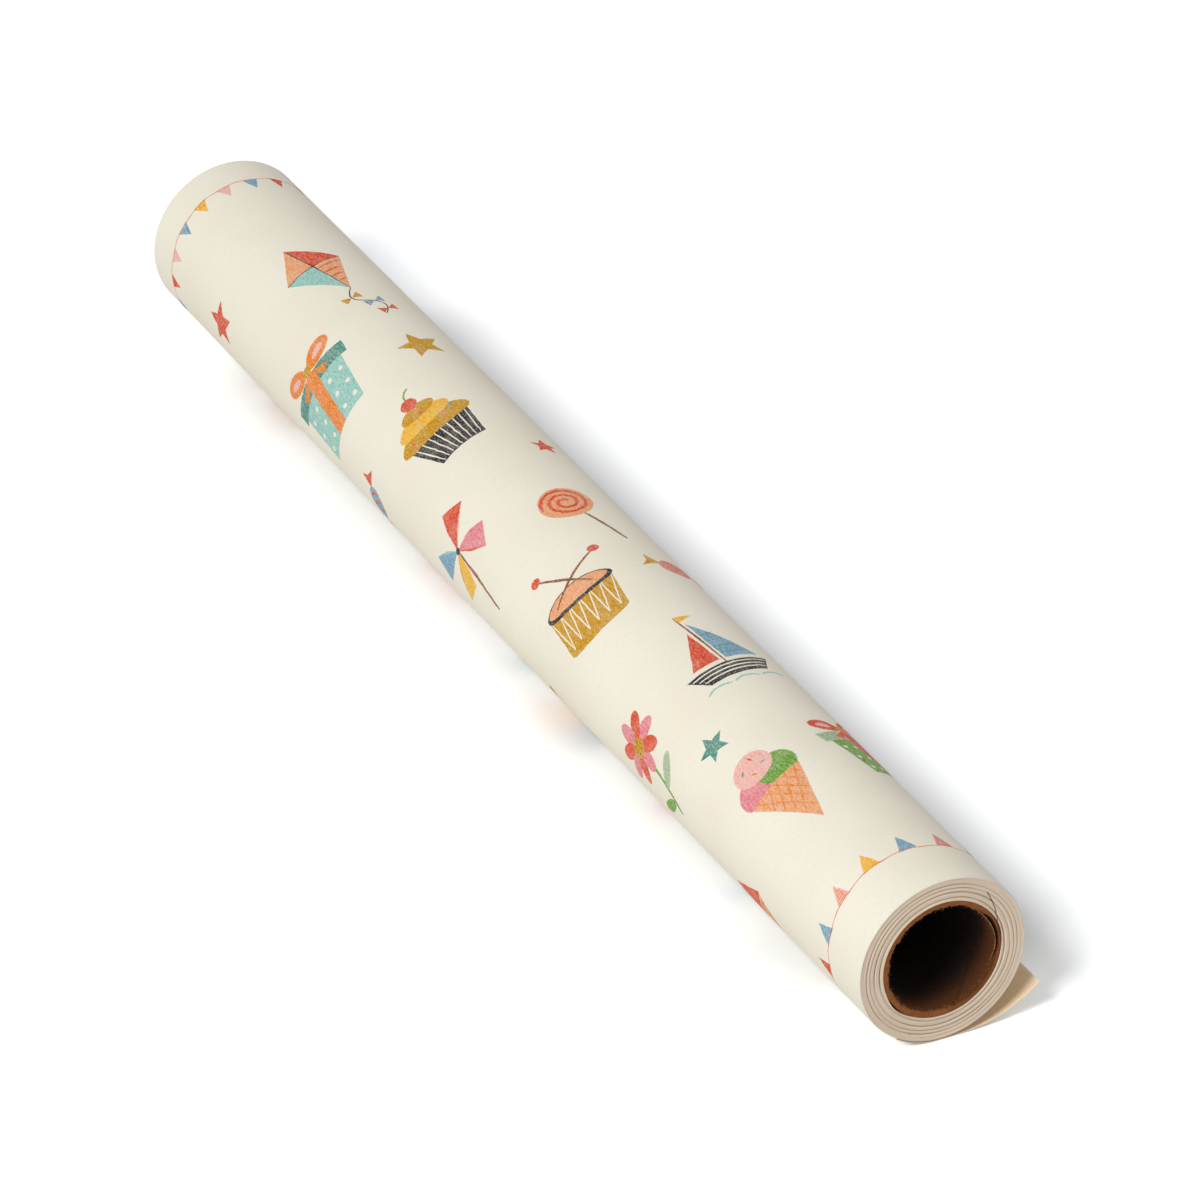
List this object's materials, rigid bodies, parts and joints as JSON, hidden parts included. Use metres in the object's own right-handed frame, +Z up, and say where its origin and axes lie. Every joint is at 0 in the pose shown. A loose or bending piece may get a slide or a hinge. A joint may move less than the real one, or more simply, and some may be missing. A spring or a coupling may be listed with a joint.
{
  "type": "wrapping paper roll",
  "caption": "Roll of printed gift wrap wound on a spiral board core, lying on a table with its loose outer end curling up beside it.",
  "frame": {"origin": "on the roll's axis, half way along it", "axes": "+X along the roll towards the end that shows, +Y the way the loose end is pulled, +Z up"},
  "size_m": [0.5, 0.0609, 0.0557],
  "materials": {
    "core_board": "matt brown board",
    "wound_paper": "cut edges of the wound sheet",
    "printed_paper": "uncoated cream paper, printed outside and bare kraft inside"
  },
  "bodies": {
    "laid_sheet": {"sheet_under_roll": "printed_paper", "paid_out_run": "printed_paper"},
    "wound_roll": {"first_turn": "wound_paper", "innermost_turns": "wound_paper", "inner_turns": "wound_paper", "middle_turns": "wound_paper", "outer_turns": "wound_paper", "outermost_turns": "wound_paper", "printed_turn": "printed_paper"},
    "core": {"core_liner_ply": "core_board", "core_inner_ply": "core_board", "core_middle_ply": "core_board", "core_outer_ply": "core_board"},
    "pulled_end": {"loose_end_root": "printed_paper"},
    "bent_end": {"loose_end_middle": "printed_paper"},
    "free_edge": {"loose_end_edge": "printed_paper"}
  },
  "joints": [
    {"name": "roll_turn", "type": "hinge", "parent": "laid_sheet", "child": "wound_roll", "pos_m": [0, 0, 0], "axis": [1, 0, 0], "range_deg": [0, 360]},
    {"name": "sheet_pull", "type": "slide", "parent": "laid_sheet", "child": "pulled_end", "axis": [0, 1, 0], "range_m": [0, 0.175], "deforming": ["paid_out_run"]},
    {"name": "root_bend", "type": "hinge", "parent": "pulled_end", "child": "bent_end", "pos_m": [0, 0.01584, -0.02688], "axis": [1, 0, 0], "range_deg": [-18, 15]},
    {"name": "edge_bend", "type": "hinge", "parent": "bent_end", "child": "free_edge", "pos_m": [0, 0.02446, -0.02358], "axis": [1, 0, 0], "range_deg": [-18, 15]},
    {"name": "core_push", "type": "slide", "parent": "wound_roll", "child": "core", "axis": [1, 0, 0], "range_m": [-0.45, 0.45]}
  ],
  "couplings": [
    {"joint": "sheet_pull", "follows": "roll_turn", "m_per_rad": 0.02784}
  ]
}
